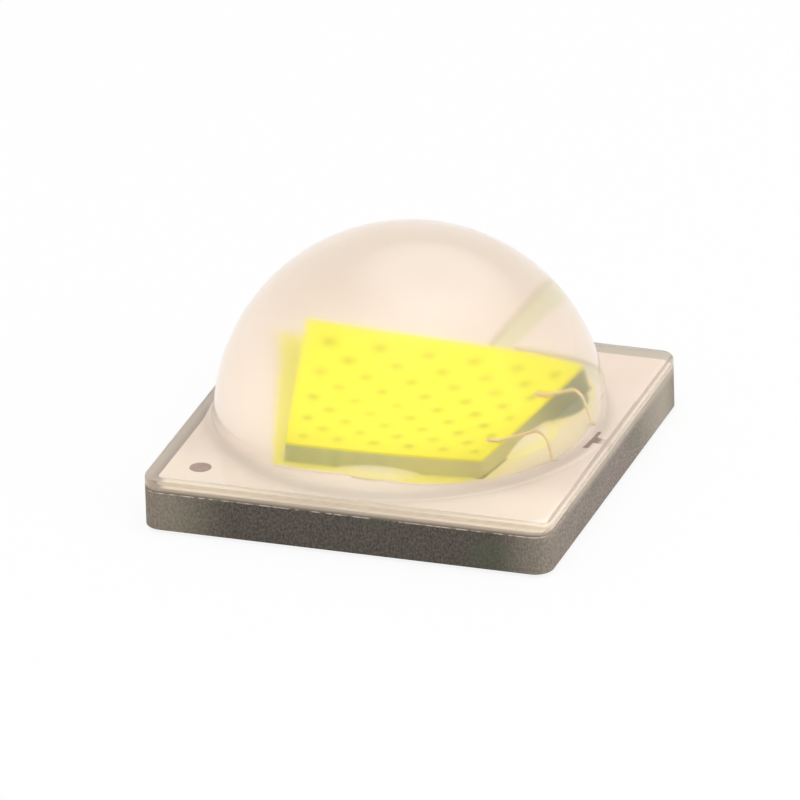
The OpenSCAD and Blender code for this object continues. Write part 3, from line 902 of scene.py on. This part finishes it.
def add_lamp(name, lamp):
    """A soft lamp that faces the object and shows in no reflection."""
    data = bpy.data.lights.new(name, "AREA")
    data.shape = "SQUARE"
    data.size = lamp.size
    data.energy = lamp.radiance * math.pi * lamp.size * lamp.size
    piece = bpy.data.objects.new(name, data)
    piece.visible_glossy = False
    piece.location = lamp.place
    piece.rotation_euler = (-lamp.place).to_track_quat("-Z", "Y").to_euler()
    bpy.context.scene.collection.objects.link(piece)


# Angles in degrees, and the lens and the sensor in millimetres, as Blender takes them
CAMERA_AZIMUTH = 19.25
CAMERA_ELEVATION = 25.10
CAMERA_ROLL = -1.72
CAMERA_LENS = 767.25
CAMERA_SENSOR = 36.0
CAMERA_DISTANCE = 200 * MM
CAMERA_CLIP = (10 * MM, 1000 * MM)
CAMERA_TARGET = Vector((0.0, 0.0, 1.04 * MM))
# How far the target stands from the picture's middle, to the right and up
CAMERA_OFFSET = (0.115 * MM, 0.158 * MM)


def camera():
    azimuth, elevation, roll = (math.radians(v) for v in (CAMERA_AZIMUTH, CAMERA_ELEVATION, CAMERA_ROLL))
    back = Vector((math.sin(azimuth) * math.cos(elevation), -math.cos(azimuth) * math.cos(elevation),
                   math.sin(elevation)))
    level_right = Vector((math.cos(azimuth), math.sin(azimuth), 0.0))
    level_up = back.cross(level_right)
    right = math.cos(roll) * level_right + math.sin(roll) * level_up
    up = math.cos(roll) * level_up - math.sin(roll) * level_right
    place = CAMERA_TARGET + CAMERA_DISTANCE * back - CAMERA_OFFSET[0] * right - CAMERA_OFFSET[1] * up
    data = bpy.data.cameras.new("camera")
    data.lens = CAMERA_LENS
    data.sensor_width = CAMERA_SENSOR
    data.clip_start, data.clip_end = CAMERA_CLIP
    piece = bpy.data.objects.new("camera", data)
    turn = Matrix((right, up, back)).transposed()
    piece.matrix_world = Matrix.Translation(place) @ turn.to_4x4()
    bpy.context.scene.collection.objects.link(piece)
    bpy.context.scene.camera = piece


def dress(node, material):
    """Gives a CAD node its material."""
    mesh = frame["nodes"][node].data
    mesh.materials.clear()
    mesh.materials.append(material)


def main():
    bpy.context.scene.view_settings.view_transform = "Standard"
    camera()
    world()
    for name, lamp in LAMPS.items():
        add_lamp(name, lamp)
    floor()

    metal = top_metal_material()
    marks = mark_material()
    gold = gold_material()
    fillet = fillet_material()
    plating = plating_material()
    copper = copper_material()
    looks = {
        "die_pad": metal,
        "wire_pad": metal,
        "alignment_tee": marks,
        "thermal_pad": plating,
        "anode_solder_pad": plating,
        "cathode_solder_pad": plating,
        "cathode_strip": copper,
        "chip_solder": solder_material(),
        "chip_carrier": carrier_material(),
        "light_layer": crystal_material(),
        "contact_points": gold,
        "bond_pad_1": gold,
        "bond_pad_2": gold,
        "phosphor_layer": phosphor_material(),
        "phosphor_overspray": overspray_material(),
        "front_fillet": fillet,
        "right_fillet": fillet,
    }
    for node in frame["nodes"]:
        if "via" in node:
            looks[node] = copper
    for node, material in looks.items():
        dress(node, material)

    pieces = {
        "ceramic": ceramic(ceramic_material()),
        "clear_silicone": lens(silicone_material()),
        "marks": cathode_dot(marks),
    }
    for slot, piece in pieces.items():
        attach(piece, "root")
    for node in LOOPS:
        piece = wire(node, gold)
        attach(piece, "root")


main()
